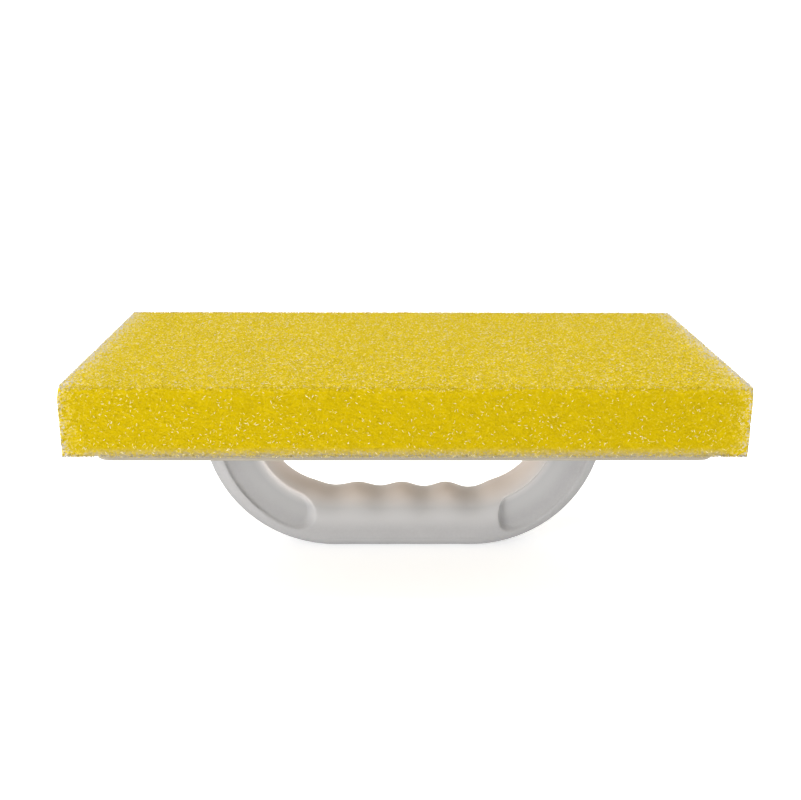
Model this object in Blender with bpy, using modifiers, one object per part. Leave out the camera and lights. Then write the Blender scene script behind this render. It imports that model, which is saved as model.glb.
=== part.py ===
"""A grout float: a block of coarse open-cell foam glued to a plastic plate, with a moulded D-handle.

The float stands on the flat palm side of its handle with the foam on top. The origin is the middle of that
flat, X runs along the float, Y across it and Z up towards the working face of the foam. Lengths are in metres.
"""

import math

import bmesh
import bpy
from mathutils import Matrix, Vector

# Meshes that touch on the real tool are kept this far apart.
CONTACT_GAP = 0.0003

# Foam block.
SPONGE_LENGTH = 0.280
SPONGE_WIDTH = 0.140
SPONGE_THICKNESS = 0.030
SPONGE_CORNER_RADIUS = 0.0020
SPONGE_EDGE_RADIUS = 0.0008

# Backing plate, set in from the foam on all four sides.
PLATE_INSET = 0.010
PLATE_THICKNESS = 0.0041
PLATE_CORNER_RADIUS = 0.007
PLATE_EDGE_CHAMFER = 0.0012

# Glue film between the plate and the foam.
ADHESIVE_THICKNESS = 0.0004
ADHESIVE_INSET = 0.004

# Handle: a straight grip whose ends turn up into two quarter-circle legs.
HANDLE_HEIGHT = 0.0620
GRIP_HALF_LENGTH = 0.0326
LEG_OUTER_RADIUS = 0.0610
LEG_INNER_RADIUS = 0.0332
HANDLE_HALF_DEPTH = 0.015

# Finger side of the grip: waves whose valleys get a little deeper towards the right leg.
GRIP_CREST_HEIGHT = 0.0282
LEFT_VALLEY_HEIGHT = 0.0266
RIGHT_VALLEY_HEIGHT = 0.0254
SCALLOP_PITCH = 0.02135
SCALLOP_SHIFT = -0.0006
SCALLOP_RUN_OUT = math.radians(18.6)

# Cross-section of the handle: a superellipse, squarer and cut flat on the palm side.
PALM_EXPONENT = 2.5
FINGER_EXPONENT = 2.2
PALM_FLAT_CUT = 0.945
RING_POINTS = 36
GRIP_STEPS = 30
LEG_STEPS = 16

# Pockets in the front and the back of each leg. The floor is flat and a wall's slope is how far the wall
# leans out for each metre that it rises from the floor.
POCKET_FLOOR_DEPTH = 0.0093
POCKET_CUT_DEPTH = 0.017
POCKET_INNER_RADIUS = 0.0385
POCKET_OUTER_RADIUS = 0.0543
POCKET_START = math.radians(25.6)
POCKET_STOP = math.radians(76)
POCKET_CAP_REACH = 0.0075
POCKET_INNER_SLOPE = 0.90
POCKET_OUTER_SLOPE = 0.15
POCKET_CAP_SLOPE = 0.85
POCKET_FLARE_SLOPE = 0.60
POCKET_FLARE_TURN = math.radians(20)
POCKET_ARC_STEPS = 12
POCKET_CAP_STEPS = 10

# Feet: flat flanges at the top of the legs, against the plate.
FOOT_LENGTH = 0.046
FOOT_WIDTH = 0.050
FOOT_THICKNESS = 0.005
FOOT_CORNER_RADIUS = 0.010
FOOT_EDGE_CHAMFER = 0.001

# Countersunk self-tapping screws, two in each leg, driven from the foam side.
SCREW_LENGTH = 0.019
SCREW_RADIUS = 0.0019
SCREW_POINT_LENGTH = 0.003
HEAD_RADIUS = 0.0040
HEAD_RIM = 0.0004
HEAD_RECESS = 0.0003
HEAD_CONE = HEAD_RADIUS - SCREW_RADIUS
SCREW_SPREAD = 0.0080
SCREW_TURN_STEPS = 32
CROSS_SLOT_LENGTH = 0.0042
CROSS_SLOT_WIDTH = 0.0010
CROSS_SLOT_DEPTH = 0.0018
PLATE_HOLE_RADIUS = 0.0024
COUNTERSINK_GAP = 0.00045
PILOT_EXTRA_DEPTH = 0.0015

LEG_MIDDLE_X = GRIP_HALF_LENGTH + (LEG_OUTER_RADIUS + LEG_INNER_RADIUS) / 2
PLATE_BOTTOM = HANDLE_HEIGHT + CONTACT_GAP
PLATE_TOP = PLATE_BOTTOM + PLATE_THICKNESS
ADHESIVE_BOTTOM = PLATE_TOP + CONTACT_GAP
SPONGE_BOTTOM = ADHESIVE_BOTTOM + ADHESIVE_THICKNESS + CONTACT_GAP
SCREW_HEAD_TOP = PLATE_TOP - HEAD_RECESS


def clear_scene():
    for obj in list(bpy.data.objects):
        bpy.data.objects.remove(obj, do_unlink=True)


def new_collection(name):
    collection = bpy.data.collections.new(name)
    bpy.context.scene.collection.children.link(collection)
    return collection


def new_material(name, colour, roughness, metallic=0.0):
    material = bpy.data.materials.new(name)
    material.use_nodes = True
    shader = material.node_tree.nodes["Principled BSDF"]
    shader.inputs["Base Color"].default_value = (*colour, 1.0)
    shader.inputs["Roughness"].default_value = roughness
    shader.inputs["Metallic"].default_value = metallic
    material.diffuse_color = (*colour, 1.0)
    return material


def mesh_from(bm, name):
    bmesh.ops.recalc_face_normals(bm, faces=bm.faces)
    mesh = bpy.data.meshes.new(name)
    bm.to_mesh(mesh)
    bm.free()
    return mesh


def add_object(name, mesh, collection):
    obj = bpy.data.objects.new(name, mesh)
    collection.objects.link(obj)
    return obj


def add_cutter(name, mesh, collection):
    cutter = add_object(name, mesh, collection)
    cutter.hide_render = True
    cutter.display_type = "WIRE"
    return cutter


def add_boolean(obj, name, operation, collection):
    modifier = obj.modifiers.new(name, "BOOLEAN")
    modifier.operation = operation
    modifier.solver = "EXACT"
    modifier.operand_type = "COLLECTION"
    modifier.collection = collection


def shade_round(mesh, angle=math.radians(35)):
    mesh.shade_smooth()
    mesh.set_sharp_from_angle(angle=angle)


def slab_mesh(name, length, width, bottom, thickness, corner_radius, chamfer):
    """A flat rectangular slab around the Z axis, with rounded corners and eased top and bottom edges."""
    bm = bmesh.new()
    bmesh.ops.create_cube(bm, size=1.0)
    bmesh.ops.scale(bm, vec=(length, width, thickness), verts=bm.verts)
    bmesh.ops.translate(bm, vec=(0, 0, bottom + thickness / 2), verts=bm.verts)
    upright = [edge for edge in bm.edges if abs(edge.verts[0].co.z - edge.verts[1].co.z) > thickness / 2]
    bmesh.ops.bevel(bm, geom=upright, offset=corner_radius, segments=6, profile=0.5, affect="EDGES")
    rims = [edge for edge in bm.edges if is_rim(edge, bottom, bottom + thickness)]
    bmesh.ops.bevel(bm, geom=rims, offset=chamfer, segments=2, profile=0.5, affect="EDGES")
    return mesh_from(bm, name)


def is_rim(edge, bottom, top):
    """Whether an edge lies on the outline of a slab's top or bottom face."""
    heights = [vert.co.z for vert in edge.verts]
    level = any(all(abs(z - height) < 1e-6 for z in heights) for height in (bottom, top))
    return level and any(abs(face.normal.z) < 0.5 for face in edge.link_faces)


def loft_mesh(name, rings):
    """A closed body through rings with equally many points, with a flat cap on the first and the last one."""
    bm = bmesh.new()
    levels = [[bm.verts.new(point) for point in ring] for ring in rings]
    count = len(levels[0])
    for lower, upper in zip(levels, levels[1:]):
        for i in range(count):
            j = (i + 1) % count
            bm.faces.new((lower[i], lower[j], upper[j], upper[i]))
    bm.faces.new(levels[0])
    bm.faces.new(levels[-1])
    return mesh_from(bm, name)


def power(value, exponent):
    return math.copysign(abs(value) ** exponent, value)


def handle_ring(outer, inner):
    """The cross-section between a point on the palm side and one on the finger side, both in the XZ plane."""
    middle = (outer + inner) / 2
    half_height = (outer - inner).length / 2
    outward = (outer - inner).normalized()
    ring = []
    for i in range(RING_POINTS):
        turn = 2 * math.pi * i / RING_POINTS
        palm_side = math.cos(turn) > 0
        exponent = 2 / (PALM_EXPONENT if palm_side else FINGER_EXPONENT)
        along = power(math.cos(turn), exponent)
        if palm_side:
            along = min(along / PALM_FLAT_CUT, 1.0)
        across = HANDLE_HALF_DEPTH * power(math.sin(turn), exponent)
        ring.append(middle + outward * (half_height * along) + Vector((0, across, 0)))
    return ring


def grip_height(x):
    """Height of the scalloped finger side over the palm flat."""
    rightward = x / GRIP_HALF_LENGTH
    valley = (LEFT_VALLEY_HEIGHT * (1 - rightward) + RIGHT_VALLEY_HEIGHT * (1 + rightward)) / 2
    wave = (1 + math.cos(2 * math.pi * (x - SCALLOP_SHIFT) / SCALLOP_PITCH)) / 2
    return valley + (GRIP_CREST_HEIGHT - valley) * wave


def leg_inner_radius(side, turn):
    """Inner radius of a leg, which runs out of the last finger valley over the first few degrees."""
    if turn >= SCALLOP_RUN_OUT:
        return LEG_INNER_RADIUS
    start = LEG_OUTER_RADIUS - grip_height(side * GRIP_HALF_LENGTH)
    blend = (1 + math.cos(math.pi * turn / SCALLOP_RUN_OUT)) / 2
    return LEG_INNER_RADIUS + (start - LEG_INNER_RADIUS) * blend


def on_leg(side, radius, turn, y=0.0):
    """A point at a radius and a turn from straight down about the centre of a leg's arcs."""
    x = side * (GRIP_HALF_LENGTH + radius * math.sin(turn))
    return Vector((x, y, LEG_OUTER_RADIUS - radius * math.cos(turn)))


def leg_rings(side):
    rings = []
    for i in range(1, LEG_STEPS + 1):
        turn = math.pi / 2 * i / LEG_STEPS
        outer = on_leg(side, LEG_OUTER_RADIUS, turn)
        inner = on_leg(side, leg_inner_radius(side, turn), turn)
        rings.append(handle_ring(outer, inner))
    return rings


def grip_rings():
    rings = []
    for i in range(GRIP_STEPS + 1):
        x = GRIP_HALF_LENGTH * (2 * i / GRIP_STEPS - 1)
        rings.append(handle_ring(Vector((x, 0, 0)), Vector((x, 0, grip_height(x)))))
    return rings


def pocket_outer_radius(rise, turn):
    """Radius of a pocket's outer side, which flares out towards the round lower end."""
    share = max(0.0, 1 - (turn - POCKET_START) / POCKET_FLARE_TURN)
    flare = POCKET_FLARE_SLOPE * share * share * (3 - 2 * share)
    return POCKET_OUTER_RADIUS + rise * (POCKET_OUTER_SLOPE + flare)


def pocket_ring(side, y):
    """A pocket's outline at a depth: a band along the leg, rounded below and square above."""
    rise = abs(y) - POCKET_FLOOR_DEPTH
    inner = POCKET_INNER_RADIUS - rise * POCKET_INNER_SLOPE
    outer = pocket_outer_radius(rise, POCKET_START)
    middle = (inner + outer) / 2
    half_width = (outer - inner) / 2
    cap_turn = (POCKET_CAP_REACH + rise * POCKET_CAP_SLOPE) / ((POCKET_INNER_RADIUS + POCKET_OUTER_RADIUS) / 2)
    ring = []
    for i in range(POCKET_ARC_STEPS + 1):
        turn = POCKET_STOP + (POCKET_START - POCKET_STOP) * i / POCKET_ARC_STEPS
        ring.append(on_leg(side, inner, turn, y))
    for i in range(1, POCKET_CAP_STEPS):
        swing = math.pi * i / POCKET_CAP_STEPS
        turn = POCKET_START - cap_turn * math.sin(swing)
        ring.append(on_leg(side, middle - half_width * math.cos(swing), turn, y))
    for i in range(POCKET_ARC_STEPS + 1):
        turn = POCKET_START + (POCKET_STOP - POCKET_START) * i / POCKET_ARC_STEPS
        ring.append(on_leg(side, pocket_outer_radius(rise, turn), turn, y))
    return ring


def add_pocket_cutters(collection):
    for side in (-1, 1):
        for face in (-1, 1):
            rings = [pocket_ring(side, face * depth) for depth in (POCKET_FLOOR_DEPTH, POCKET_CUT_DEPTH)]
            add_cutter("pocket_cut", loft_mesh("pocket_cut", rings), collection)


def turned_mesh(name, profile, steps):
    """A mesh turned round the Z axis from a profile of (radius, height) points that runs from top to bottom."""
    bm = bmesh.new()
    verts = [bm.verts.new((radius, 0, height)) for radius, height in profile]
    for upper, lower in zip(verts, verts[1:]):
        bm.edges.new((upper, lower))
    outline = bpy.data.meshes.new(name)
    bm.to_mesh(outline)
    bm.free()
    turned = add_object(name, outline, bpy.context.scene.collection)
    modifier = turned.modifiers.new("Turn", "SCREW")
    modifier.angle = 2 * math.pi
    modifier.steps = steps
    modifier.render_steps = steps
    modifier.use_merge_vertices = True
    modifier.merge_threshold = 0.00001
    return evaluated_mesh(turned, name)


def evaluated_mesh(obj, name):
    """The mesh of an object with its modifiers applied. The object is removed."""
    bpy.context.view_layer.update()
    graph = bpy.context.evaluated_depsgraph_get()
    mesh = bpy.data.meshes.new_from_object(obj.evaluated_get(graph))
    mesh.name = name
    bpy.data.objects.remove(obj, do_unlink=True)
    return mesh


def screw_mesh(cutters):
    """A countersunk screw whose head top is at the origin and whose point looks down, with a cross recess."""
    profile = [
        (0.0, 0.0),
        (HEAD_RADIUS, 0.0),
        (HEAD_RADIUS, -HEAD_RIM),
        (SCREW_RADIUS, -HEAD_RIM - HEAD_CONE),
        (SCREW_RADIUS, SCREW_POINT_LENGTH - SCREW_LENGTH),
        (0.0, -SCREW_LENGTH),
    ]
    blank = add_object("screw_blank", turned_mesh("screw", profile, SCREW_TURN_STEPS), cutters)
    slots = new_collection("cross_recess_cut")
    arms = (
        (CROSS_SLOT_LENGTH, CROSS_SLOT_WIDTH),
        (CROSS_SLOT_WIDTH, CROSS_SLOT_LENGTH),
    )
    for length, width in arms:
        bm = bmesh.new()
        bmesh.ops.create_cube(bm, size=1.0)
        bmesh.ops.scale(bm, vec=(length, width, 2 * CROSS_SLOT_DEPTH), verts=bm.verts)
        add_cutter("cross_slot", mesh_from(bm, "cross_slot"), slots)
    add_boolean(blank, "Cross recess", "DIFFERENCE", slots)
    mesh = evaluated_mesh(blank, "screw")
    for slot in list(slots.objects):
        bpy.data.objects.remove(slot, do_unlink=True)
    bpy.data.collections.remove(slots)
    shade_round(mesh)
    return mesh


def screw_places():
    for side in (-1, 1):
        for spread in (-SCREW_SPREAD, SCREW_SPREAD):
            yield side * (LEG_MIDDLE_X + spread)


def add_screws(parts, cutters, material):
    mesh = screw_mesh(cutters)
    mesh.materials.append(material)
    for number, x in enumerate(screw_places(), start=1):
        screw = add_object(f"screw_{number}", mesh, parts)
        screw.location = (x, 0, SCREW_HEAD_TOP)


def add_plate_hole_cutters(collection):
    """Countersunk clearance holes, a little larger than the screws all round."""
    over = HEAD_RECESS + CONTACT_GAP
    rim_radius = HEAD_RADIUS + COUNTERSINK_GAP
    cone_top = -HEAD_RIM
    profile = [
        (0.0, over),
        (rim_radius, over),
        (rim_radius, cone_top),
        (PLATE_HOLE_RADIUS, cone_top - (rim_radius - PLATE_HOLE_RADIUS)),
        (PLATE_HOLE_RADIUS, -PLATE_THICKNESS - CONTACT_GAP),
        (0.0, -PLATE_THICKNESS - CONTACT_GAP),
    ]
    mesh = turned_mesh("plate_hole_cut", profile, SCREW_TURN_STEPS)
    for x in screw_places():
        add_cutter("plate_hole_cut", mesh, collection).location = (x, 0, SCREW_HEAD_TOP)


def add_pilot_bore_cutters(collection):
    bottom = SCREW_HEAD_TOP - SCREW_LENGTH - PILOT_EXTRA_DEPTH
    top = PLATE_BOTTOM + CONTACT_GAP
    radius = SCREW_RADIUS + CONTACT_GAP
    for x in screw_places():
        bm = bmesh.new()
        bmesh.ops.create_cone(
            bm, cap_ends=True, segments=16, radius1=radius, radius2=radius, depth=top - bottom
        )
        bmesh.ops.translate(bm, vec=(x, 0, (top + bottom) / 2), verts=bm.verts)
        add_cutter("pilot_bore_cut", mesh_from(bm, "pilot_bore_cut"), collection)


def add_sponge(parts, material):
    mesh = slab_mesh(
        "sponge_pad",
        SPONGE_LENGTH,
        SPONGE_WIDTH,
        SPONGE_BOTTOM,
        SPONGE_THICKNESS,
        SPONGE_CORNER_RADIUS,
        SPONGE_EDGE_RADIUS,
    )
    mesh.materials.append(material)
    add_object("sponge_pad", mesh, parts)


def add_adhesive(parts, material):
    inset = PLATE_INSET + ADHESIVE_INSET
    bm = bmesh.new()
    bmesh.ops.create_cube(bm, size=1.0)
    size = (SPONGE_LENGTH - 2 * inset, SPONGE_WIDTH - 2 * inset, ADHESIVE_THICKNESS)
    bmesh.ops.scale(bm, vec=size, verts=bm.verts)
    middle = ADHESIVE_BOTTOM + ADHESIVE_THICKNESS / 2
    bmesh.ops.translate(bm, vec=(0, 0, middle), verts=bm.verts)
    mesh = mesh_from(bm, "adhesive_layer")
    mesh.materials.append(material)
    add_object("adhesive_layer", mesh, parts)


def add_base_plate(parts, material):
    mesh = slab_mesh(
        "base_plate",
        SPONGE_LENGTH - 2 * PLATE_INSET,
        SPONGE_WIDTH - 2 * PLATE_INSET,
        PLATE_BOTTOM,
        PLATE_THICKNESS,
        PLATE_CORNER_RADIUS,
        PLATE_EDGE_CHAMFER,
    )
    mesh.materials.append(material)
    plate = add_object("base_plate", mesh, parts)
    cuts = new_collection("base_plate_cuts")
    add_plate_hole_cutters(cuts)
    add_boolean(plate, "Screw holes", "DIFFERENCE", cuts)


def add_feet(collection):
    for side in (-1, 1):
        mesh = slab_mesh(
            "foot",
            FOOT_LENGTH,
            FOOT_WIDTH,
            HANDLE_HEIGHT - FOOT_THICKNESS,
            FOOT_THICKNESS,
            FOOT_CORNER_RADIUS,
            FOOT_EDGE_CHAMFER,
        )
        mesh.transform(Matrix.Translation((side * LEG_MIDDLE_X, 0, 0)))
        add_cutter("foot", mesh, collection)


def add_handle(parts, material):
    left_leg = list(reversed(leg_rings(-1)))
    rings = left_leg + grip_rings() + leg_rings(1)
    mesh = loft_mesh("handle", rings)
    shade_round(mesh)
    mesh.materials.append(material)
    handle = add_object("handle", mesh, parts)
    joins = new_collection("handle_joins")
    add_feet(joins)
    add_boolean(handle, "Feet", "UNION", joins)
    cuts = new_collection("handle_cuts")
    add_pocket_cutters(cuts)
    add_pilot_bore_cutters(cuts)
    add_boolean(handle, "Pockets and bores", "DIFFERENCE", cuts)


def main():
    clear_scene()
    parts = new_collection("grout_float")
    cutters = new_collection("cutters")
    add_sponge(parts, new_material("yellow_foam", (0.72, 0.54, 0.02), 0.85))
    add_adhesive(parts, new_material("glue_film", (0.72, 0.68, 0.55), 0.45))
    add_base_plate(parts, new_material("grey_plastic", (0.48, 0.45, 0.40), 0.55))
    add_handle(parts, new_material("light_grey_plastic", (0.55, 0.53, 0.51), 0.60))
    add_screws(parts, cutters, new_material("zinc_plated_steel", (0.60, 0.60, 0.58), 0.35, 1.0))


main()
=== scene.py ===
"""Looks for the grout float: reticulated foam, moulded plastic, a plain pale floor and soft studio light."""

import math

import bmesh
import bpy
import numpy as np
from mathutils import Matrix, Vector
from mathutils.geometry import delaunay_2d_cdt


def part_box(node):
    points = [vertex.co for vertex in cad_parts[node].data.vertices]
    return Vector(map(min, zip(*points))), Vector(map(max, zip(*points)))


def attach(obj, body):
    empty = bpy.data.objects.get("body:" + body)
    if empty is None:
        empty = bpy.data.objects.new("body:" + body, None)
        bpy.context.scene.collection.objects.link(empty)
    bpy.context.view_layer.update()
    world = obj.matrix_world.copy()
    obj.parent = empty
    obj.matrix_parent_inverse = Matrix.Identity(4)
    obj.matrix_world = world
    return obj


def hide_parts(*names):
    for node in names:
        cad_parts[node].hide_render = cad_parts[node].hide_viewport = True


# Camera: a view from the front, a little above the foam, almost level.
CAMERA_DISTANCE = 0.4803
CAMERA_SIDE = -0.0077
CAMERA_ABOVE_FOAM = 0.1224
CAMERA_PITCH = math.radians(17.25)
CAMERA_YAW = math.radians(0.74)
CAMERA_ROLL = math.radians(0.25)
CAMERA_LENS = 48.15
CAMERA_SENSOR = 36.0

# Light: a low key light from the front left, a weak fill light opposite it, and a large soft one overhead.
WORLD_STRENGTH = 0.58
FLOOR_GLOW = 0.44
LIGHT_TARGET = (0, 0, 0.06)
# Each has a name, a place, a size in metres and a power in watts.
AREA_LIGHTS = (
    ("key", (-1.45, -1.20, 0.42), (1.0, 0.7), 22),
    ("fill", (1.45, -1.20, 0.42), (1.0, 0.7), 4),
    ("overhead", (0.0, 0.4, 1.8), (2.4, 1.4), 40),
)

# Floor: flat, with a bend up into a backdrop.
FLOOR_HALF_WIDTH = 3.0
FLOOR_FRONT = -2.5
FLOOR_BACK = 2.0
BACKDROP_HEIGHT = 2.5
BACKDROP_BEND = 0.8
BACKDROP_STEPS = 16

# Handle, in metres and radians. Its outline is the frame's. Its pockets are shaped more finely than there.
# Tables keyed by -1 and 1 hold a value for the left and for the right leg.
GRIP_HALF_LENGTH = 0.0326
LEG_OUTER_RADIUS = 0.0610
LEG_INNER_RADIUS = 0.0332
HANDLE_HALF_DEPTH = 0.015
GRIP_CREST_HEIGHT = 0.0282
LEFT_VALLEY_HEIGHT = 0.0266
RIGHT_VALLEY_HEIGHT = 0.0254
SCALLOP_PITCH = 0.02135
SCALLOP_SHIFT = -0.0006
SCALLOP_RUN_OUT = math.radians(18.6)
PALM_EXPONENT = 2.5
FINGER_EXPONENT = 2.2
PALM_FLAT_CUT = 0.945
POCKET_FLOOR_DEPTH = {-1: 0.0093, 1: 0.0103}
POCKET_FLOOR_TILT = {-1: 0.27, 1: 0.13}
POCKET_CUT_DEPTH = 0.017
POCKET_INNER_RADIUS = 0.0385
POCKET_OUTER_RADIUS = {-1: 0.0527, 1: 0.0540}
POCKET_START = math.radians(25.6)
POCKET_STOP = math.radians(76)
POCKET_CAP_REACH = 0.0075
POCKET_INNER_SLOPE = {-1: 0.90, 1: 0.35}
POCKET_OUTER_SLOPE = {-1: 0.15, 1: 0.70}
POCKET_CAP_SLOPE = {-1: 1.10, 1: 0.30}
POCKET_FLARE_SLOPE = 1.40
POCKET_FLARE_TURN = math.radians(20)
POCKET_RIDGE_SHARE = 0.02
POCKET_ARC_STEPS = 40
POCKET_CAP_STEPS = 30
FOOT_SIZE = (0.046, 0.050, 0.005)
FOOT_CORNER_RADIUS = 0.010
HANDLE_RING_POINTS = 72
HANDLE_GRIP_STEPS = 90
HANDLE_LEG_STEPS = 60
HANDLE_VOXEL = 0.00055
HANDLE_SMOOTHING = 5

# Foam, in metres: layers of a random cell net over an opaque core. Shares and ranges are factors.
CELL_PITCH = 0.0014
CELL_JITTER = 0.42
CELL_ROW_STEP = 0.866
CELL_MARGIN = 6
STRUT_WIDTH = 0.00020
STRUT_WIDTH_RANGE = (0.6, 1.4)
SHORTEST_CUT = 0.02
LAYER_STEP = 0.00115
CUT_DEPTH = 0.00015
CUT_WAVE = 0.00022
INNER_WAVE = 0.6
CUT_END_SCATTER = 0.4
STUB_SHARE = 0.7
STUB_LEAN = 0.35
STUB_REACH = (0.6, 1.2)
NORMAL_SPREAD = 0.18
GLINT_LENGTH = 0.0013
GLINT_LENGTH_RANGE = (0.5, 1.0)
GLINT_WIDTH = 0.00026
GLINT_WIDTH_RANGE = (0.6, 1.2)
GLINT_DEPTH = 0.0004
GLINT_CLUSTER = 0.006
GLINT_CLUSTERED_SHARE = 0.5
GLINTS_PER_CLUSTER = 12
# Glints per square metre.
LONG_FACE_GLINTS = 120000
OTHER_FACE_GLINTS = 90000
FACE_LAYERS = 2
BOTTOM_RIM = 0.010
CORE_GRID = 0.0011
CORE_ROUGHNESS = 0.00015
CORE_END_INSET = 0.00005
CORE_FACE_INSET = 0.0012
CORE_EDGE_INSET = 0.0003
CORE_TOP_INSET = 0.0005
CORE_FLARE = 0.0030
CORE_BOTTOM_LIFT = 0.0001
CORE_END_PINCH = 0.03
CORE_END_FADE = 0.0001
BOTTOM_LIFT = 0.0002
# How far the block's four top corners are rounded, keyed by the signs of X and Y. No two need be alike.
CORNER_RADII = {(-1, -1): 0.0060, (1, -1): 0.0030, (1, 1): 0.0030, (-1, 1): 0.0006}
CORNER_DROP = 0.0075


# ---------------------------------------------------------------- materials

class Graph:
    """A few shorthands for building a material's nodes."""

    def __init__(self, name):
        self.material = bpy.data.materials.new(name)
        self.material.use_nodes = True
        self.tree = self.material.node_tree
        self.shader = self.tree.nodes["Principled BSDF"]
        geometry = self.node("ShaderNodeNewGeometry")
        self.place = geometry.outputs["Position"]
        self.normal = geometry.outputs["Normal"]

    def node(self, kind, **settings):
        made = self.tree.nodes.new(kind)
        for key, value in settings.items():
            setattr(made, key, value)
        return made

    def link(self, source, target):
        self.tree.links.new(source, target)

    def axis(self, source, name):
        """One coordinate of a vector."""
        made = self.node("ShaderNodeSeparateXYZ")
        self.link(source, made.inputs[0])
        return made.outputs[name]

    def set(self, **values):
        for key, value in values.items():
            self.shader.inputs[key.replace("_", " ")].default_value = value

    def noise(self, scale, detail=2.0, roughness=0.5, stretch=None):
        made = self.node("ShaderNodeTexNoise")
        made.inputs["Scale"].default_value = scale
        made.inputs["Detail"].default_value = detail
        made.inputs["Roughness"].default_value = roughness
        source = self.place
        if stretch:
            mapping = self.node("ShaderNodeMapping")
            mapping.inputs["Scale"].default_value = stretch
            self.link(source, mapping.inputs["Vector"])
            source = mapping.outputs["Vector"]
        self.link(source, made.inputs["Vector"])
        return made.outputs["Fac"]

    def cells(self, scale, output="Distance"):
        made = self.node("ShaderNodeTexVoronoi")
        made.inputs["Scale"].default_value = scale
        self.link(self.place, made.inputs["Vector"])
        return made.outputs[output]

    def ramp(self, factor, *stops):
        made = self.node("ShaderNodeValToRGB")
        elements = made.color_ramp.elements
        while len(elements) < len(stops):
            elements.new(0.5)
        for element, (position, colour) in zip(elements, stops):
            element.position = position
            element.color = (*colour, 1.0)
        self.link(factor, made.inputs["Fac"])
        return made.outputs["Color"]

    def spread(self, factor, low, high, start=0.0, stop=1.0):
        made = self.node("ShaderNodeMapRange", interpolation_type="SMOOTHSTEP")
        made.inputs["From Min"].default_value = start
        made.inputs["From Max"].default_value = stop
        made.inputs["To Min"].default_value = low
        made.inputs["To Max"].default_value = high
        self.link(factor, made.inputs["Value"])
        return made.outputs["Result"]

    def math(self, operation, *values):
        made = self.node("ShaderNodeMath", operation=operation)
        for value, socket in zip(values, made.inputs):
            if isinstance(value, (int, float)):
                socket.default_value = value
            else:
                self.link(value, socket)
        return made.outputs[0]

    def absolute(self, value):
        return self.math("ABSOLUTE", value)

    def mix(self, factor, first, second, blend="MIX"):
        made = self.node("ShaderNodeMix", data_type="RGBA", blend_type=blend)
        for value, socket in ((factor, made.inputs[0]), (first, made.inputs[6]), (second, made.inputs[7])):
            if isinstance(value, (int, float)):
                socket.default_value = value
            elif isinstance(value, tuple):
                socket.default_value = (*value, 1.0)
            else:
                self.link(value, socket)
        return made.outputs[2]

    def bump(self, height, strength, distance):
        made = self.node("ShaderNodeBump")
        made.inputs["Strength"].default_value = strength
        made.inputs["Distance"].default_value = distance
        self.link(height, made.inputs["Height"])
        self.link(made.outputs["Normal"], self.shader.inputs["Normal"])

    def colour(self, source):
        self.link(source, self.shader.inputs["Base Color"])

    def roughness(self, source):
        self.link(source, self.shader.inputs["Roughness"])


# The handle's painted light and shade. Each limit pair is a depth below the palm side's curve, a height, or a
# distance from the handle's middle plane, over which a tone comes in.
# Painted light: the lighter tone away from the palm side, and the depths over which it comes in.
PAINTED_LIGHT_GRIP_TONE = (0.440, 0.432, 0.430)
PAINTED_LIGHT_GRIP_DEPTH = (0.010, 0.018)
# Painted warm bounce light on the finger side, under the plate, fading out with height.
PAINTED_BOUNCE_TONE = (0.80, 0.69, 0.61)
PAINTED_BOUNCE_DEPTH = (0.020, 0.031)
PAINTED_BOUNCE_FADE_HEIGHT = (0.044, 0.056)
# Painted shade in the pockets and on the palm-side edges.
PAINTED_SHADE_TINT = (0.80, 0.81, 0.82)
PAINTED_SHADE_DEPTH = (0.0180, 0.0225)
PAINTED_SHADE_OFFSET = (0.0092, 0.0138)


def below_palm(g):
    """A node value: how far a point lies inside the curve that the palm side and the outer legs follow."""
    from_middle = g.absolute(g.axis(g.place, "X"))
    across = g.math("MAXIMUM", g.math("SUBTRACT", from_middle, GRIP_HALF_LENGTH), 0.0)
    drop = g.math("SUBTRACT", g.axis(g.place, "Z"), LEG_OUTER_RADIUS)
    radius = g.math("POWER", g.math("ADD", g.math("POWER", across, 2.0), g.math("POWER", drop, 2.0)), 0.5)
    return g.math("SUBTRACT", LEG_OUTER_RADIUS, radius)


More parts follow.
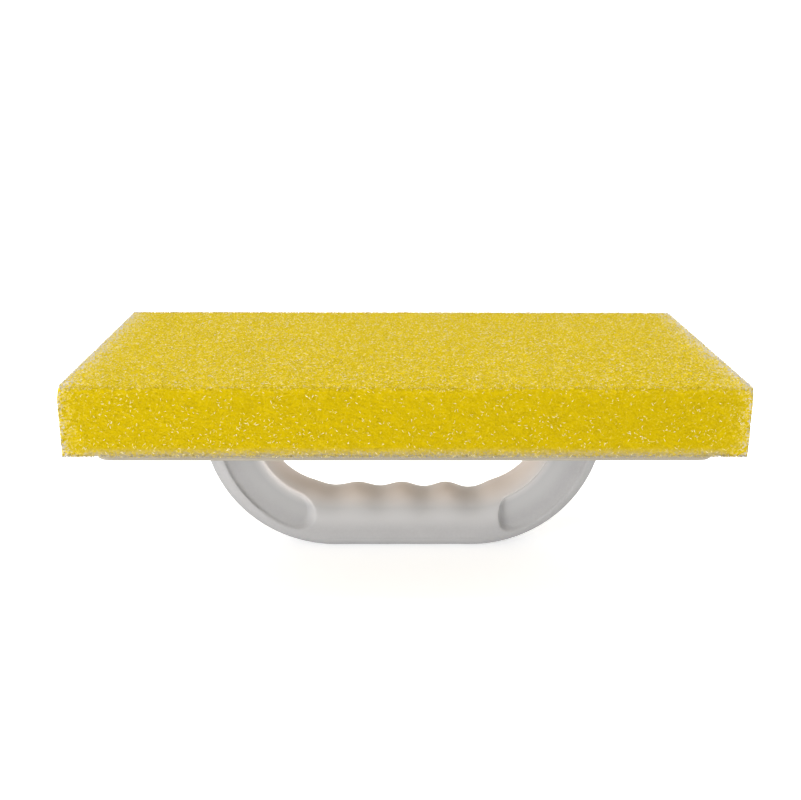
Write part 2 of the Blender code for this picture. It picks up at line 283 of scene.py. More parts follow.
def handle_plastic():
    """Light grey structural foam moulding with faint flow marks and a fine matt grain.

    Painted light makes it lighter away from its palm side, and painted warm bounce light makes its finger
    side paler and warmer under the plate. Painted shade makes its pockets and palm-side edges slightly
    darker.
    """
    g = Graph("handle_plastic")
    flow = g.noise(90, 4, 0.6, stretch=(0.6, 1.0, 1.3))
    specks = g.noise(900, 2, 0.6)
    base = g.ramp(flow, (0.30, (0.348, 0.342, 0.343)), (0.70, (0.374, 0.367, 0.368)))
    base = g.mix(0.25, base, g.ramp(specks, (0.35, (0.330, 0.324, 0.324)), (0.65, (0.394, 0.387, 0.386))))
    depth = below_palm(g)
    # Painted light: lighter away from the palm side.
    base = g.mix(g.spread(depth, 0.0, 1.0, *PAINTED_LIGHT_GRIP_DEPTH), base, PAINTED_LIGHT_GRIP_TONE)
    # Painted warm bounce light: paler and warmer on the finger side, under the plate.
    under_plate = g.spread(g.axis(g.place, "Z"), 1.0, 0.0, *PAINTED_BOUNCE_FADE_HEIGHT)
    painted_bounce = g.math("MULTIPLY", g.spread(depth, 0.0, 1.0, *PAINTED_BOUNCE_DEPTH), under_plate)
    base = g.mix(painted_bounce, base, PAINTED_BOUNCE_TONE)
    # Painted shade: darker in the pockets and on the palm-side edges.
    unshaded = g.spread(g.absolute(g.axis(g.place, "Y")), 0.0, 1.0, *PAINTED_SHADE_OFFSET)
    unshaded = g.math("MAXIMUM", unshaded, g.spread(depth, 0.0, 1.0, *PAINTED_SHADE_DEPTH))
    g.colour(g.mix(unshaded, g.mix(1.0, base, PAINTED_SHADE_TINT, "MULTIPLY"), base))
    g.roughness(g.spread(flow, 0.52, 0.66))
    g.bump(g.noise(2200, 3, 0.6), 0.12, 0.00012)
    g.set(Specular_IOR_Level=0.35)
    return g.material


def plate_plastic():
    """Warm grey plastic sheet with a fine matt grain."""
    g = Graph("plate_plastic")
    flow = g.noise(60, 3, 0.5)
    g.colour(g.ramp(flow, (0.3, (0.285, 0.255, 0.200)), (0.7, (0.310, 0.280, 0.222))))
    g.roughness(g.spread(g.noise(500), 0.48, 0.62))
    g.bump(g.noise(1800, 2, 0.6), 0.10, 0.0001)
    g.set(Specular_IOR_Level=0.4)
    return g.material


def glue_film():
    """A thin cured glue film, uneven where the brush left it."""
    g = Graph("glue_film")
    sweep = g.noise(70, 3, 0.6, stretch=(0.3, 1.0, 1.0))
    g.colour(g.ramp(sweep, (0.3, (0.60, 0.53, 0.36)), (0.7, (0.72, 0.67, 0.52))))
    g.roughness(g.spread(sweep, 0.30, 0.50))
    g.bump(sweep, 0.3, 0.0002)
    return g.material


def zinc_steel():
    """Bright zinc-plated steel with a slight spangle."""
    g = Graph("zinc_plated_steel")
    spangle = g.cells(1400, output="Color")
    g.colour(g.mix(0.08, (0.62, 0.62, 0.60), spangle))
    g.roughness(g.spread(g.noise(1200, 3), 0.25, 0.42))
    g.set(Metallic=1.0)
    return g.material


# The foam's tone runs from deep yellow, inside it, to pale: painted light where it is thin and light comes
# through, and a painted sheen where a cut face catches the light. Each painted paleness falls off with depth,
# in metres. The end faces keep a share of theirs when seen face on.
FOAM_TONES_AND_PAINTED_LIGHT = (
    (0.00, (0.590, 0.430, 0.002)),
    (0.25, (0.650, 0.482, 0.020)),
    (0.50, (0.735, 0.575, 0.095)),
    (0.80, (0.655, 0.568, 0.340)),
    (1.00, (0.570, 0.540, 0.560)),
)
# Painted light coming through the thin ends.
END_PAINTED_LIGHT = 0.96
END_PAINTED_LIGHT_DEPTH = 0.0048
END_FACE_SHARE = 0.25
END_FACE_LEAN = (0.35, 0.55)
# Painted sheen: the top is paler where its cut face catches the light.
TOP_PAINTED_SHEEN = 0.40
TOP_PAINTED_SHEEN_DEPTH = 0.0016
# Painted light through the thin bottom edge.
BOTTOM_PAINTED_LIGHT = 0.60
BOTTOM_PAINTED_LIGHT_DEPTH = 0.0022
# Painted shade: the plate in shade, seen through the foam as grey spots near the glue.
PAINTED_PLATE_SHADE = (0.360, 0.340, 0.350)
PAINTED_PLATE_SHADE_DEPTH = 0.0048
PAINTED_PLATE_SHADE_END_GAP = (0.012, 0.006)
TONE_CELLS = 1500
TONE_PATCHES = 110
TONE_PATCH_SHARE = 0.22
PAINTED_PLATE_SHADE_CELLS = 1100


def foam_painted_light(g):
    """A node value: the foam's painted light, how pale it is on average, from how near a point lies to the
    block's cut faces.

    The ends are pale with painted light, as where light comes through them, beside the block's front, back
    and top, and not face on. A painted sheen makes the top pale, and painted light the bottom edge.
    """
    low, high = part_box("sponge_pad")
    height = g.axis(g.place, "Z")
    beside_end = g.spread(g.absolute(g.axis(g.normal, "X")), 1.0, END_FACE_SHARE, *END_FACE_LEAN)
    to_end = g.math("SUBTRACT", high.x, g.absolute(g.axis(g.place, "X")))
    to_top = g.math("SUBTRACT", high.z, height)
    to_bottom = g.math("SUBTRACT", height, low.z)
    total = 0.0
    for distance, paleness, depth in (
        (to_end, g.math("MULTIPLY", beside_end, END_PAINTED_LIGHT), END_PAINTED_LIGHT_DEPTH),
        (to_top, TOP_PAINTED_SHEEN, TOP_PAINTED_SHEEN_DEPTH),
        (to_bottom, BOTTOM_PAINTED_LIGHT, BOTTOM_PAINTED_LIGHT_DEPTH),
    ):
        fall = g.math("EXPONENT", g.math("MULTIPLY", distance, -1 / depth))
        total = g.math("ADD", g.math("MULTIPLY", fall, paleness), total)
    return total


def foam_tone(g, speckle, lift):
    """The foam's colour: its painted light, speckled cell by cell with random tone, and painted shade of the
    plate seen through as grey spots near the glue.
    """
    low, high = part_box("sponge_pad")
    cell = g.cells(TONE_CELLS, output="Color")
    patch = g.math("SUBTRACT", g.noise(TONE_PATCHES, 2, 0.6), 0.5)
    mottle = g.math("MULTIPLY", g.math("SUBTRACT", cell, 0.5), speckle)
    mottle = g.math("ADD", mottle, g.math("MULTIPLY", patch, TONE_PATCH_SHARE))
    # Painted light near the cut faces, speckled with random tone.
    tone = g.ramp(g.math("ADD", g.math("ADD", foam_painted_light(g), mottle), lift), *FOAM_TONES_AND_PAINTED_LIGHT)
    # Painted shade of the plate, seen through the foam near the glue.
    near_glue = g.spread(g.axis(g.place, "Z"), 1.0, 0.0, low.z, low.z + PAINTED_PLATE_SHADE_DEPTH)
    start, stop = (high.x - gap for gap in PAINTED_PLATE_SHADE_END_GAP)
    over_plate = g.spread(g.absolute(g.axis(g.place, "X")), 1.0, 0.0, start, stop)
    spots = g.cells(PAINTED_PLATE_SHADE_CELLS, output="Color")
    shade = g.math("MULTIPLY", g.math("MULTIPLY", near_glue, over_plate), spots)
    return g.mix(shade, tone, PAINTED_PLATE_SHADE)


def foam_struts():
    """The foam's struts."""
    g = Graph("foam_struts")
    g.colour(foam_tone(g, speckle=1.70, lift=-0.28))
    g.set(Roughness=0.6, Specular_IOR_Level=0.1)
    return g.material


def foam_painted_glint():
    """Thick struts with a smoother skin, which look pale: a real gloss, and a painted highlight in their
    colour.
    """
    g = Graph("foam_painted_glint")
    # Painted highlight: the pale colour stands for light that the struts catch.
    g.colour(g.ramp(g.noise(700, 1), (0.4, (0.74, 0.61, 0.16)), (0.62, (0.88, 0.81, 0.55))))
    g.set(Roughness=0.4, Specular_IOR_Level=0.3)
    return g.material


def foam_core():
    """The depth of the foam, where mostly saturated yellow light comes back out."""
    g = Graph("foam_core")
    g.colour(foam_tone(g, speckle=1.40, lift=-0.34))
    g.bump(g.cells(750), 0.25, 0.0003)
    g.set(Roughness=0.9, Specular_IOR_Level=0.0)
    return g.material


def floor_material():
    g = Graph("floor")
    g.colour(g.ramp(g.noise(3, 2), (0.3, (0.90, 0.90, 0.90)), (0.7, (0.92, 0.92, 0.92))))
    g.set(Roughness=0.9, Specular_IOR_Level=0.1, Emission_Color=(1, 1, 1, 1), Emission_Strength=FLOOR_GLOW)
    return g.material


# ---------------------------------------------------------------- mesh helpers

def new_object(name, mesh, material=None):
    obj = bpy.data.objects.new(name, mesh)
    bpy.context.scene.collection.objects.link(obj)
    if material:
        mesh.materials.clear()
        mesh.materials.append(material)
    return obj


def mesh_from(bm, name):
    bmesh.ops.recalc_face_normals(bm, faces=bm.faces)
    mesh = bpy.data.meshes.new(name)
    bm.to_mesh(mesh)
    bm.free()
    return mesh


def mesh_from_arrays(name, points, triangles):
    mesh = bpy.data.meshes.new(name)
    mesh.vertices.add(len(points))
    mesh.vertices.foreach_set("co", points.astype(np.float32).ravel())
    mesh.loops.add(triangles.size)
    mesh.loops.foreach_set("vertex_index", triangles.astype(np.int32).ravel())
    mesh.polygons.add(len(triangles))
    mesh.polygons.foreach_set("loop_start", np.arange(0, triangles.size, 3, dtype=np.int32))
    mesh.polygons.foreach_set("loop_total", np.full(len(triangles), 3, np.int32))
    mesh.update()
    mesh.validate()
    return mesh


def applied(obj):
    """Applies an object's modifiers to its mesh."""
    bpy.context.view_layer.update()
    graph = bpy.context.evaluated_depsgraph_get()
    mesh = bpy.data.meshes.new_from_object(obj.evaluated_get(graph))
    old = obj.data
    obj.modifiers.clear()
    obj.data = mesh
    bpy.data.meshes.remove(old)
    return obj


def boolean(obj, other, operation):
    modifier = obj.modifiers.new(operation, "BOOLEAN")
    modifier.operation = operation
    modifier.solver = "EXACT"
    modifier.object = other
    applied(obj)
    bpy.data.objects.remove(other, do_unlink=True)


def loft(name, rings):
    bm = bmesh.new()
    levels = [[bm.verts.new(point) for point in ring] for ring in rings]
    count = len(levels[0])
    for lower, upper in zip(levels, levels[1:]):
        for i in range(count):
            j = (i + 1) % count
            bm.faces.new((lower[i], lower[j], upper[j], upper[i]))
    bm.faces.new(levels[0])
    bm.faces.new(levels[-1])
    return mesh_from(bm, name)


# ---------------------------------------------------------------- handle

def power(value, exponent):
    return math.copysign(abs(value) ** exponent, value)


def handle_ring(outer, inner):
    middle = (outer + inner) / 2
    half_height = (outer - inner).length / 2
    outward = (outer - inner).normalized()
    ring = []
    for i in range(HANDLE_RING_POINTS):
        turn = 2 * math.pi * i / HANDLE_RING_POINTS
        palm_side = math.cos(turn) > 0
        exponent = 2 / (PALM_EXPONENT if palm_side else FINGER_EXPONENT)
        along = power(math.cos(turn), exponent)
        if palm_side:
            along = min(along / PALM_FLAT_CUT, 1.0)
        across = HANDLE_HALF_DEPTH * power(math.sin(turn), exponent)
        ring.append(middle + outward * (half_height * along) + Vector((0, across, 0)))
    return ring


def grip_height(x):
    rightward = x / GRIP_HALF_LENGTH
    valley = (LEFT_VALLEY_HEIGHT * (1 - rightward) + RIGHT_VALLEY_HEIGHT * (1 + rightward)) / 2
    wave = (1 + math.cos(2 * math.pi * (x - SCALLOP_SHIFT) / SCALLOP_PITCH)) / 2
    return valley + (GRIP_CREST_HEIGHT - valley) * wave


def leg_inner_radius(side, turn):
    if turn >= SCALLOP_RUN_OUT:
        return LEG_INNER_RADIUS
    start = LEG_OUTER_RADIUS - grip_height(side * GRIP_HALF_LENGTH)
    blend = (1 + math.cos(math.pi * turn / SCALLOP_RUN_OUT)) / 2
    return LEG_INNER_RADIUS + (start - LEG_INNER_RADIUS) * blend


def on_leg(side, radius, turn, y=0.0):
    x = side * (GRIP_HALF_LENGTH + radius * math.sin(turn))
    return Vector((x, y, LEG_OUTER_RADIUS - radius * math.cos(turn)))


def leg_rings(side):
    rings = []
    for i in range(1, HANDLE_LEG_STEPS + 1):
        turn = math.pi / 2 * i / HANDLE_LEG_STEPS
        outer = on_leg(side, LEG_OUTER_RADIUS, turn)
        inner = on_leg(side, leg_inner_radius(side, turn), turn)
        rings.append(handle_ring(outer, inner))
    return rings


def grip_rings():
    rings = []
    for i in range(HANDLE_GRIP_STEPS + 1):
        x = GRIP_HALF_LENGTH * (2 * i / HANDLE_GRIP_STEPS - 1)
        rings.append(handle_ring(Vector((x, 0, 0)), Vector((x, 0, grip_height(x)))))
    return rings


def pocket_outer_radius(side, rise, turn):
    share = max(0.0, 1 - (turn - POCKET_START) / POCKET_FLARE_TURN)
    flare = POCKET_FLARE_SLOPE * share * share * (3 - 2 * share)
    return POCKET_OUTER_RADIUS[side] + rise * (POCKET_OUTER_SLOPE[side] + flare)


def pocket_ring(side, face, rise, share=1.0):
    """A pocket's outline at a height above its tilted floor, drawn in towards its middle line by share."""
    inner = POCKET_INNER_RADIUS - rise * POCKET_INNER_SLOPE[side]
    outer = pocket_outer_radius(side, rise, POCKET_START)
    middle = (inner + outer) / 2
    half_width = (outer - inner) / 2
    cap_reach = POCKET_CAP_REACH + rise * POCKET_CAP_SLOPE[side]
    cap_turn = cap_reach / ((POCKET_INNER_RADIUS + POCKET_OUTER_RADIUS[side]) / 2)
    route = []
    for i in range(POCKET_ARC_STEPS + 1):
        route.append((inner, POCKET_STOP + (POCKET_START - POCKET_STOP) * i / POCKET_ARC_STEPS))
    for i in range(1, POCKET_CAP_STEPS):
        swing = math.pi * i / POCKET_CAP_STEPS
        turn = POCKET_START - share * cap_turn * math.sin(swing)
        route.append((middle - half_width * math.cos(swing), turn))
    for i in range(POCKET_ARC_STEPS + 1):
        turn = POCKET_START + (POCKET_STOP - POCKET_START) * i / POCKET_ARC_STEPS
        route.append((pocket_outer_radius(side, rise, turn), turn))
    ring = []
    for radius, turn in route:
        radius = middle + share * (radius - middle)
        depth = POCKET_FLOOR_DEPTH[side] + POCKET_FLOOR_TILT[side] * (radius - POCKET_INNER_RADIUS) + rise
        ring.append(on_leg(side, radius, turn, face * depth))
    return ring


def foot_block(side, top):
    length, width, thickness = FOOT_SIZE
    bm = bmesh.new()
    bmesh.ops.create_cube(bm, size=1.0)
    bmesh.ops.scale(bm, vec=(length, width, thickness), verts=bm.verts)
    middle = GRIP_HALF_LENGTH + (LEG_OUTER_RADIUS + LEG_INNER_RADIUS) / 2
    bmesh.ops.translate(bm, vec=(side * middle, 0, top - thickness / 2), verts=bm.verts)
    upright = [e for e in bm.edges if abs(e.verts[0].co.z - e.verts[1].co.z) > thickness / 2]
    bmesh.ops.bevel(bm, geom=upright, offset=FOOT_CORNER_RADIUS, segments=12, profile=0.5, affect="EDGES")
    return new_object("foot_block", mesh_from(bm, "foot_block"))


def make_handle():
    _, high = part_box("handle")
    rings = list(reversed(leg_rings(-1))) + grip_rings() + leg_rings(1)
    handle = new_object("handle_moulding", loft("handle_moulding", rings))
    for side in (-1, 1):
        boolean(handle, foot_block(side, high.z), "UNION")
    for side in (-1, 1):
        rise = POCKET_CUT_DEPTH - POCKET_FLOOR_DEPTH[side]
        for face in (-1, 1):
            rings = [
                pocket_ring(side, face, 0, POCKET_RIDGE_SHARE),
                pocket_ring(side, face, 0),
                pocket_ring(side, face, rise),
            ]
            boolean(handle, new_object("pocket_cut", loft("pocket_cut", rings)), "DIFFERENCE")
    remesh = handle.modifiers.new("Remesh", "REMESH")
    remesh.mode = "VOXEL"
    remesh.voxel_size = HANDLE_VOXEL
    remesh.use_smooth_shade = True
    smooth = handle.modifiers.new("Smooth", "SMOOTH")
    smooth.factor = 0.5
    smooth.iterations = HANDLE_SMOOTHING
    applied(handle)
    handle.data.materials.clear()
    handle.data.materials.append(handle_plastic())
    handle.data.shade_smooth()
    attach(handle, "root")
    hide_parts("handle")
    return handle


# ---------------------------------------------------------------- foam

def circumcentres(corners, triangles):
    a, b, c = (corners[triangles[:, i]] for i in range(3))
    d = 2 * (a[:, 0] * (b[:, 1] - c[:, 1]) + b[:, 0] * (c[:, 1] - a[:, 1]) + c[:, 0] * (a[:, 1] - b[:, 1]))
    aa, bb, cc = ((p ** 2).sum(axis=1) for p in (a, b, c))
    x = aa * (b[:, 1] - c[:, 1]) + bb * (c[:, 1] - a[:, 1]) + cc * (a[:, 1] - b[:, 1])
    y = aa * (c[:, 0] - b[:, 0]) + bb * (a[:, 0] - c[:, 0]) + cc * (b[:, 0] - a[:, 0])
    return np.stack([x / d, y / d], axis=1)


def voronoi_net(width, height, rng):
    """Nodes and node pairs of a random cell net that reaches past a rectangle centred on the origin."""
    rows = int(math.ceil(height / (CELL_PITCH * CELL_ROW_STEP))) + CELL_MARGIN
    columns = int(math.ceil(width / CELL_PITCH)) + CELL_MARGIN
    column, row = np.meshgrid(np.arange(columns), np.arange(rows))
    x = column + 0.5 * (row % 2) - columns / 2
    y = (row - rows / 2) * CELL_ROW_STEP
    sites = np.stack([x.ravel(), y.ravel()], axis=1)
    sites += rng.uniform(-CELL_JITTER, CELL_JITTER, sites.shape)
    verts, _, faces, *_ = delaunay_2d_cdt([tuple(p) for p in sites.tolist()], [], [], 0, 1e-6, False)
    corners = np.array([tuple(v) for v in verts]) * CELL_PITCH
    triangles = np.array(faces)
    sides = np.concatenate([triangles[:, [0, 1]], triangles[:, [1, 2]], triangles[:, [2, 0]]])
    owner = np.tile(np.arange(len(triangles)), 3)
    sides = np.sort(sides, axis=1)
    key = sides[:, 0].astype(np.int64) * len(corners) + sides[:, 1]
    order = np.argsort(key, kind="stable")
    same = key[order][1:] == key[order][:-1]
    pairs = np.stack([owner[order][:-1][same], owner[order][1:][same]], axis=1)
    return circumcentres(corners, triangles), pairs


def clipped(starts, ends, half_size):
    """The parts of the struts that lie inside a rectangle, as a knife through the foam would leave them."""
    along = ends - starts
    enter = np.zeros(len(starts))
    leave = np.ones(len(starts))
    for axis in (0, 1):
        for sign in (-1, 1):
            speed = sign * along[:, axis]
            room = half_size[axis] - sign * starts[:, axis]
            moving = np.abs(speed) > 1e-12
            crossing = room / np.where(moving, speed, 1.0)
            leave = np.where(moving & (speed > 0), np.minimum(leave, crossing), leave)
            enter = np.where(moving & (speed < 0), np.maximum(enter, crossing), enter)
            leave = np.where(~moving & (room < 0), -1.0, leave)
    keep = leave > enter + SHORTEST_CUT
    enter, leave = enter[keep, None], leave[keep, None]
    return starts[keep] + along[keep] * enter, starts[keep] + along[keep] * leave


def strut_mesh(name, starts, ends, uvs, widths, facing, rng, material):
    """Each strut is a sliver with four faces, thickest half way, whose two end edges cross each other.

    Light passes through the real struts, so they look evenly lit from all round: their normals lean towards
    the way the block's face looks.
    """
    along = ends - starts
    length = np.linalg.norm(along, axis=1, keepdims=True)
    along = along / np.maximum(length, 1e-9)
    first = np.cross(along, rng.normal(size=along.shape))
    first /= np.maximum(np.linalg.norm(first, axis=1, keepdims=True), 1e-9)
    second = np.cross(along, first)
    half = widths[:, None] / 2
    points = np.stack([starts + first * half, starts - first * half,
                       ends + second * half, ends - second * half], axis=1)
    points = shaped(inside_block(points.reshape(-1, 3)))
    corner = np.arange(len(starts))[:, None] * 4
    faces = np.concatenate([corner + np.array(f) for f in ((0, 1, 2), (1, 0, 3), (2, 3, 0), (3, 2, 1))])
    mesh = mesh_from_arrays(name, points, faces)
    normals = np.array(facing) + rng.normal(scale=NORMAL_SPREAD, size=(len(starts), 3))
    normals /= np.linalg.norm(normals, axis=1, keepdims=True)
    mesh.shade_smooth()
    mesh.normals_split_custom_set_from_vertices(np.repeat(normals, 4, axis=0).tolist())
    layer = mesh.uv_layers.new(name="OFBake")
    corner_uvs = np.repeat(uvs, 2, axis=1).reshape(-1, 2)[faces.ravel()]
    layer.data.foreach_set("uv", corner_uvs.astype(np.float32).ravel())
    piece = new_object(name, mesh, material)
    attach(piece, "root")
    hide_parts("sponge_pad")
    return piece


def inside_block(points):
    """Keeps every point inside the block, so that its cut faces are flat."""
    low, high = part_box("sponge_pad")
    return np.clip(points, np.array(low), np.array(high))


def shaped(points):
    """Rounds the block's top corners in plan, each with its own radius, which shrinks away lower down."""
    low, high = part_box("sponge_pad")
    points = points.copy()
    fade = np.clip(1 - (high.z - points[:, 2]) / CORNER_DROP, 0, 1) ** 2
    for (sx, sy), top_radius in CORNER_RADII.items():
        radius = np.maximum(top_radius * fade, 1e-6)
        cx = (high.x if sx > 0 else low.x) - sx * radius
        cy = (high.y if sy > 0 else low.y) - sy * radius
        u = (points[:, 0] - cx) * sx
        v = (points[:, 1] - cy) * sy
        near = (u > 0) & (v > 0)
        shrink = np.maximum(u, v)[near] / np.maximum(np.hypot(u, v)[near], 1e-12)
        points[near, 0] = cx[near] + sx * u[near] * shrink
        points[near, 1] = cy[near] + sy * v[near] * shrink
    return points


def face_place(origin, across, up, inward):
    """A function that turns points (across, up, depth) on a face into points in the row's frame."""
    axes = np.array([across, up, inward], float)

    def place(points):
        return np.array(origin) + points @ axes

    return place


def net_layer(name, width, height, place, facing, depth, seed, material, split=1):
    """One layer of cells, with stubs that reach in to the next one.

    In the outer layer they also reach out to the cut face. place is a function that face_place made.
    """
    rng = np.random.default_rng(seed)
    nodes, pairs = voronoi_net(width, height, rng)
    half_size = np.array([width, height]) / 2
    wave = CUT_WAVE if depth == 0.0 else INNER_WAVE * LAYER_STEP
    flat = np.column_stack([nodes, depth + CUT_DEPTH + rng.uniform(0, wave, len(nodes))])
    roots = flat[rng.random(len(nodes)) < STUB_SHARE]
    lean = rng.normal(scale=STUB_LEAN, size=(len(roots), 2)) * LAYER_STEP
    tips = roots + np.column_stack([lean, rng.uniform(*STUB_REACH, len(roots)) * LAYER_STEP])
    starts = [flat[pairs[:, 0]], roots]
    ends = [flat[pairs[:, 1]], tips]
    if depth == 0.0:
        cut = flat[:, :2] + rng.normal(scale=CUT_END_SCATTER, size=(len(flat), 2)) * CUT_WAVE
        starts.append(flat)
        ends.append(np.column_stack([cut, rng.uniform(0, CUT_END_SCATTER * CUT_DEPTH, len(flat))]))
    starts, ends = clipped(np.concatenate(starts), np.concatenate(ends), half_size)
    widths = STRUT_WIDTH * rng.uniform(*STRUT_WIDTH_RANGE, len(starts))
    uvs = np.stack([starts[:, :2], ends[:, :2]], axis=1) / (2 * half_size) + 0.5
    column = np.clip(((starts[:, 0] / width + 0.5) * split).astype(int), 0, split - 1)
    for part in range(split):
        here = column == part
        label = f"{name}_{part + 1}" if split > 1 else name
        lines = place(starts[here]), place(ends[here])
        strut_mesh(label, *lines, uvs[here], widths[here], facing, rng, material)


def glints(name, width, height, place, facing, per_square_metre, seed, material):
    """Single thick struts that lie in the cut face and catch the light, coloured as a painted highlight, half
    of them in loose clusters.
    """
    rng = np.random.default_rng(seed)
    half_size = np.array([width, height]) / 2
    count = int(width * height * per_square_metre)
    middles = rng.uniform(-1, 1, (count, 2)) * half_size
    hubs = rng.uniform(-1, 1, (max(1, count // GLINTS_PER_CLUSTER), 2)) * half_size
    clustered = rng.random(count) < GLINT_CLUSTERED_SHARE
    near = hubs[rng.integers(len(hubs), size=count)] + rng.normal(scale=GLINT_CLUSTER, size=(count, 2))
    middles = np.where(clustered[:, None], near, middles)
    turn = rng.uniform(0, math.pi, count)
    reach = rng.uniform(*GLINT_LENGTH_RANGE, count) * GLINT_LENGTH / 2
    arm = np.column_stack([np.cos(turn) * reach, np.sin(turn) * reach])
    starts = np.column_stack([middles - arm, rng.uniform(0, GLINT_DEPTH, count)])
    ends = np.column_stack([middles + arm, rng.uniform(0, GLINT_DEPTH, count)])
    starts, ends = clipped(starts, ends, half_size)
    widths = GLINT_WIDTH * rng.uniform(*GLINT_WIDTH_RANGE, len(starts))
    uvs = np.stack([starts[:, :2], ends[:, :2]], axis=1) / (2 * half_size) + 0.5
    strut_mesh(name, place(starts), place(ends), uvs, widths, facing, rng, material)


def make_foam():
    low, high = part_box("sponge_pad")
    low = low + Vector((0, 0, BOTTOM_LIFT))
    middle = (low + high) / 2
    length, width, height = high - low
    struts = foam_struts()
    x, y, z = (1, 0, 0), (0, 1, 0), (0, 0, 1)
    rim = BOTTOM_RIM / 2
    top = face_place((0, 0, high.z), x, y, (0, 0, -1))
    front = face_place((0, low.y, middle.z), x, z, y)
    back = face_place((0, high.y, middle.z), x, z, (0, -1, 0))
    left = face_place((low.x, 0, middle.z), y, z, x)
    right = face_place((high.x, 0, middle.z), y, z, (-1, 0, 0))
    rim_front = face_place((0, low.y + rim, low.z), x, y, z)
    rim_back = face_place((0, high.y - rim, low.z), x, y, z)
    rim_left = face_place((low.x + rim, 0, low.z), y, x, z)
    rim_right = face_place((high.x - rim, 0, low.z), y, x, z)
    up, ahead, behind = z, (0, -1, 0), y
    down_ahead, down_behind = (0, -0.7, -0.7), (0, 0.7, -0.7)
    up_left, up_right = (-0.6, 0, 0.8), (0.6, 0, 0.8)
    net_layer("foam_cells_top", length, width, top, up, 0.0, 11, struts, split=4)
    faces = (
        ("front", length, height, front, ahead, FACE_LAYERS),
        ("back", length, height, back, behind, FACE_LAYERS),
        ("left", width, height, left, up_left, 1),
        ("right", width, height, right, up_right, 1),
        ("rim_front", length, BOTTOM_RIM, rim_front, down_ahead, 1),
        ("rim_back", length, BOTTOM_RIM, rim_back, down_behind, 1),
        ("rim_left", width, BOTTOM_RIM, rim_left, up_left, 1),
        ("rim_right", width, BOTTOM_RIM, rim_right, up_right, 1),
    )
    for number, (name, across, rise, place, facing, layers) in enumerate(faces, start=2):
        for layer in range(layers):
            label = f"foam_cells_{name}_{layer + 1}"
            net_layer(label, across, rise, place, facing, layer * LAYER_STEP, 100 * number + layer, struts)
    shine = foam_painted_glint()
    shiny_faces = (
        ("front", length, height, front, ahead, LONG_FACE_GLINTS),
        ("back", length, height, back, behind, LONG_FACE_GLINTS),
        ("top", length, width, top, up, OTHER_FACE_GLINTS),
        ("left", width, height, left, up_left, OTHER_FACE_GLINTS),
        ("right", width, height, right, up_right, OTHER_FACE_GLINTS),
    )
    for seed, (name, across, rise, place, facing, density) in enumerate(shiny_faces, start=51):
        glints(f"foam_painted_glints_{name}", across, rise, place, facing, density, seed, shine)
    make_core(low, high)


def make_core(low, high):
    """The opaque depth of the foam, set in from the long faces and flared out to the top and the ends."""
    half = (high.y - low.y) / 2
    bottom = low.z + CORE_BOTTOM_LIFT
    ends = (low.x + CORE_END_INSET, high.x - CORE_END_INSET)
    sections = (
        (ends[0], CORE_EDGE_INSET), (ends[0] + CORE_FLARE, CORE_FACE_INSET),
        (ends[1] - CORE_FLARE, CORE_FACE_INSET), (ends[1], CORE_EDGE_INSET),
    )
    rings = []
    for x, inset in sections:
        profile = (
            (inset - half, bottom), (inset - half, high.z - CORE_FLARE),
            (CORE_EDGE_INSET - half, high.z - CORE_TOP_INSET),
            (half - CORE_EDGE_INSET, high.z - CORE_TOP_INSET),
            (half - inset, high.z - CORE_FLARE), (half - inset, bottom),
        )
        rings.append([Vector((x, y, z)) for y, z in profile])
    core = new_object("foam_core", loft("foam_core", rings))
    remesh = core.modifiers.new("Remesh", "REMESH")
    remesh.mode = "VOXEL"
    remesh.voxel_size = CORE_GRID
    applied(core)
    mesh = core.data
    points = np.empty(len(mesh.vertices) * 3, np.float32)
    mesh.vertices.foreach_get("co", points)
    points = points.reshape(-1, 3)
    rng = np.random.default_rng(7)
    points += rng.normal(scale=CORE_ROUGHNESS, size=points.shape)
    reach = np.clip((np.abs(points[:, 0]) - (ends[1] - CORE_END_FADE)) / CORE_END_FADE, 0, 1)
    points[:, 0] -= np.sign(points[:, 0]) * reach * rng.uniform(0, CORE_END_FADE, len(points))
    inward = rng.uniform(0, CORE_END_PINCH, len(points)) * reach
    points[:, 2] += ((low.z + high.z) / 2 - points[:, 2]) * inward
    mesh.vertices.foreach_set("co", shaped(inside_block(points)).astype(np.float32).ravel())
    mesh.update()
    mesh.shade_smooth()
    mesh.materials.clear()
    mesh.materials.append(foam_core())
    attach(core, "root")
    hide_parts("sponge_pad")


# ---------------------------------------------------------------- CAD nodes that stay

def dress(node, material):
    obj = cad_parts[node]
    obj.data.materials.clear()
    obj.data.materials.append(material)


def dress_nodes():
    dress("base_plate", plate_plastic())
    dress("adhesive_layer", glue_film())
    steel = zinc_steel()
    for number in range(1, 5):
        dress(f"screw_{number}", steel)


# ---------------------------------------------------------------- stage

def make_floor():
    """A floor that curves up into a backdrop behind the object."""
    bend_start = FLOOR_BACK - BACKDROP_BEND
    profile = [(FLOOR_FRONT, 0.0), (bend_start, 0.0)]
    for i in range(1, BACKDROP_STEPS + 1):
        turn = math.pi / 2 * i / BACKDROP_STEPS
        profile.append((bend_start + BACKDROP_BEND * math.sin(turn), BACKDROP_BEND * (1 - math.cos(turn))))
    profile.append((FLOOR_BACK, BACKDROP_HEIGHT))
    bm = bmesh.new()
    rows = [[bm.verts.new((x, y, z)) for x in (-FLOOR_HALF_WIDTH, FLOOR_HALF_WIDTH)] for y, z in profile]
    for near, far in zip(rows, rows[1:]):
        bm.faces.new((near[0], near[1], far[1], far[0]))
    floor = new_object("floor", mesh_from(bm, "floor"), floor_material())
    floor.data.shade_smooth()


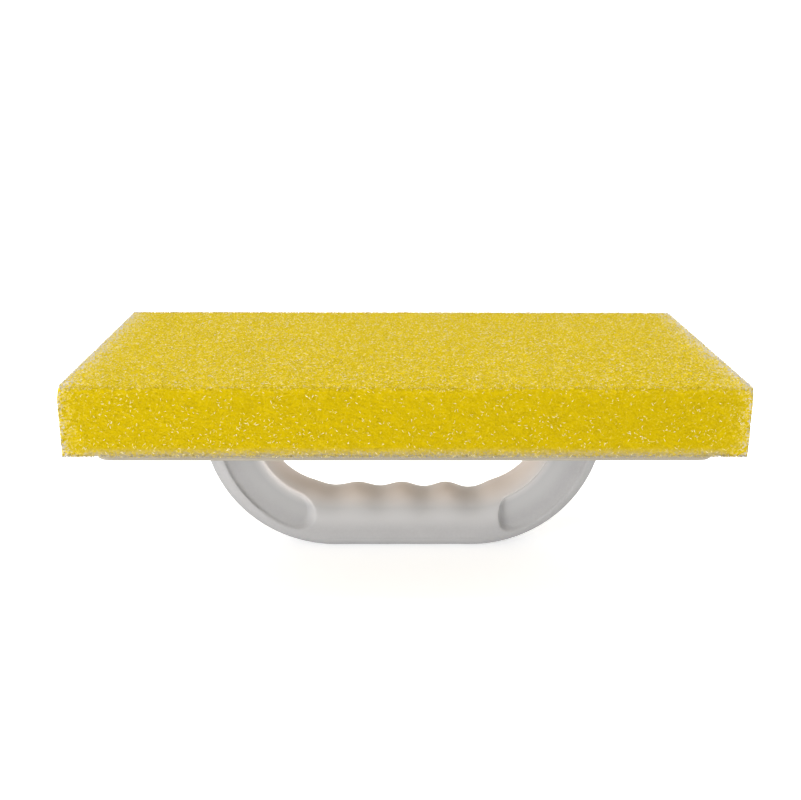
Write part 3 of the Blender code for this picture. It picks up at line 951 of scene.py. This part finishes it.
def make_camera():
    data = bpy.data.cameras.new("camera")
    data.lens = CAMERA_LENS
    data.sensor_width = CAMERA_SENSOR
    data.sensor_fit = "HORIZONTAL"
    data.clip_start = 0.01
    data.clip_end = 20
    camera = bpy.data.objects.new("camera", data)
    bpy.context.scene.collection.objects.link(camera)
    forward = Vector((
        math.sin(CAMERA_YAW) * math.cos(CAMERA_PITCH),
        math.cos(CAMERA_YAW) * math.cos(CAMERA_PITCH),
        -math.sin(CAMERA_PITCH),
    ))
    level = Vector((math.cos(CAMERA_YAW), -math.sin(CAMERA_YAW), 0))
    upward = level.cross(forward)
    right = level * math.cos(CAMERA_ROLL) + upward * math.sin(CAMERA_ROLL)
    up = upward * math.cos(CAMERA_ROLL) - level * math.sin(CAMERA_ROLL)
    turn = Matrix((right, up, -forward)).transposed().to_4x4()
    _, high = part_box("sponge_pad")
    place = Vector((CAMERA_SIDE, -CAMERA_DISTANCE, high.z + CAMERA_ABOVE_FOAM))
    camera.matrix_world = Matrix.Translation(place) @ turn
    bpy.context.scene.camera = camera


def area_light(name, place, size, power_w):
    data = bpy.data.lights.new(name, "AREA")
    data.shape = "RECTANGLE"
    data.size, data.size_y = size
    data.energy = power_w
    light = bpy.data.objects.new(name, data)
    bpy.context.scene.collection.objects.link(light)
    light.location = place
    light.rotation_mode = "QUATERNION"
    light.rotation_quaternion = (Vector(LIGHT_TARGET) - Vector(place)).to_track_quat("-Z", "Y")


def make_light():
    world = bpy.data.worlds.new("studio")
    world.use_nodes = True
    background = world.node_tree.nodes["Background"]
    background.inputs["Color"].default_value = (1.0, 1.0, 1.0, 1.0)
    background.inputs["Strength"].default_value = WORLD_STRENGTH
    bpy.context.scene.world = world
    for name, place, size, power_w in AREA_LIGHTS:
        area_light(name, place, size, power_w)
    bpy.context.scene.view_settings.view_transform = "Standard"


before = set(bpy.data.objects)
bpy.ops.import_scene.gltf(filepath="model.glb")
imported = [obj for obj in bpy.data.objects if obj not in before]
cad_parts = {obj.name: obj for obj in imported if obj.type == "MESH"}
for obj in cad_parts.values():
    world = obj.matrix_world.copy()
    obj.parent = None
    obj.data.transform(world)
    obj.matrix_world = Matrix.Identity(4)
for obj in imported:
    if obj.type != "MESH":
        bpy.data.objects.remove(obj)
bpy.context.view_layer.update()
make_camera()
make_floor()
make_light()
dress_nodes()
make_handle()
make_foam()
